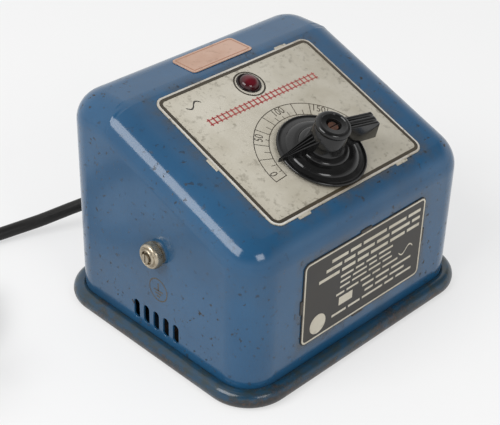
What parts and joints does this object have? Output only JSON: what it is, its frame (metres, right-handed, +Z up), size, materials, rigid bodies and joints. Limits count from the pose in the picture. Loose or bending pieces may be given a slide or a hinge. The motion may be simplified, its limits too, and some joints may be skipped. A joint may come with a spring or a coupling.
{
  "type": "train set controller",
  "caption": "Sloping-front steel transformer case with a pointer speed knob on a printed dial, pilot lamp, earth terminal, rear output sockets and mains cord.",
  "frame": {"origin": "on the floor, under the middle of the case with its base", "axes": "+X to the right as seen from the front, +Y to the back, +Z up"},
  "size_m": [0.2573, 0.1884, 0.1],
  "materials": {
    "enamel": "glossy stove enamel, worn on the bead",
    "zinc": "dull zinc plate",
    "rusty_steel": "rusty",
    "dial_print": "aged cream print",
    "data_print": "dark print",
    "tag_print": "pale print",
    "bakelite": "glossy moulding",
    "brown_bakelite": "glossy moulding",
    "bronze": "spring bronze",
    "carbon": "pressed carbon",
    "brass": "turned",
    "nickel": "worn nickel plate",
    "paxolin": "laminated paper board",
    "laminations": "stacked sheet iron",
    "presspahn": "pressboard",
    "copper": "lacquered wire",
    "bare_copper": "bared wire",
    "lens_red": "dark red",
    "bulb_glass": "clear",
    "cord_rubber": "satin",
    "tie_strap": "matte"
  },
  "bodies": {
    "case": {"housing": "enamel", "base_pan": "enamel", "corner_brackets": "zinc", "base_screws": "zinc", "dial_plate": "dial_print", "data_plate": "data_print", "number_tag": "tag_print", "shaft_bush": "brass", "bush_nut": "brass", "bridge": "paxolin", "stop_pins": "zinc", "leaf_block": "paxolin", "leaf_screws": "zinc", "fixed_contact": "brass", "bridge_spacers": "zinc", "core_bolts": "zinc", "core_nuts": "zinc", "core_e": "laminations", "core_i": "laminations", "bobbin": "presspahn", "primary_winding": "copper", "secondary_winding": "copper", "contact_track": "bare_copper", "core_cradle": "zinc", "cradle_screws": "zinc", "lamp_lens": "lens_red", "lens_clip": "zinc", "lamp_bulb": "bulb_glass", "lamp_socket": "brass", "lamp_bracket": "zinc", "socket_strip": "brown_bakelite", "output_sockets": "brass", "strip_screws": "zinc", "strip_nuts": "zinc", "earth_screw": "zinc", "earth_lug": "brass", "cord_boot": "cord_rubber", "clamp_base": "paxolin", "clamp_bar": "zinc", "clamp_screws": "zinc", "cord": "cord_rubber", "cord_coil": "cord_rubber", "cord_tie": "tie_strap", "cord_tail": "cord_rubber", "plug_body": "bakelite", "plug_pins": "brass", "plug_screw": "zinc"},
    "wiper": {"wiper_hub": "bakelite", "hub_clip": "zinc", "wiper_arm": "bronze", "roller_pin": "zinc"},
    "roller": {"contact_roller": "carbon"},
    "knob": {"knob": "bakelite", "knob_screw": "rusty_steel", "regulator_shaft": "zinc"},
    "leaf": {"contact_leaf": "bronze"},
    "earth_washer": {"earth_washer": "zinc"},
    "earth_nut": {"earth_nut": "nickel"}
  },
  "joints": [
    {"name": "regulator_turn", "type": "hinge", "parent": "case", "child": "wiper", "pos_m": [0, -0.02697, 0.07894], "axis": [0, -0.3531, 0.9356], "range_deg": [-165, 11]},
    {"name": "roller_spin", "type": "hinge", "parent": "wiper", "child": "roller", "pos_m": [-0.01416, -0.01768, 0.06321], "axis": [-0.9763, 0.2025, 0.0764], "continuous": true},
    {"name": "knob_push", "type": "slide", "parent": "wiper", "child": "knob", "axis": [0, 0.3531, -0.9356], "range_m": [0, 0.0008], "stiffness_N_per_m": 1500, "springref_m": -0.001},
    {"name": "leaf_bend", "type": "hinge", "parent": "case", "child": "leaf", "pos_m": [0, -0.03885, 0.05661], "axis": [-1, 0, 0], "range_deg": [0, 2.5]},
    {"name": "washer_slide", "type": "slide", "parent": "case", "child": "earth_washer", "axis": [-1, 0, 0], "range_m": [0, 0.0014]},
    {"name": "earth_nut_turn", "type": "hinge", "parent": "earth_washer", "child": "earth_nut", "pos_m": [-0.069, -0.0025, 0.0497], "axis": [-1, 0, 0], "range_deg": [0, 720]}
  ],
  "couplings": [
    {"joint": "roller_spin", "follows": "regulator_turn", "ratio": -6.3043},
    {"joint": "leaf_bend", "follows": "knob_push", "rad_per_m": 52.632},
    {"joint": "earth_nut_turn", "follows": "washer_slide", "rad_per_m": 8975.9}
  ]
}
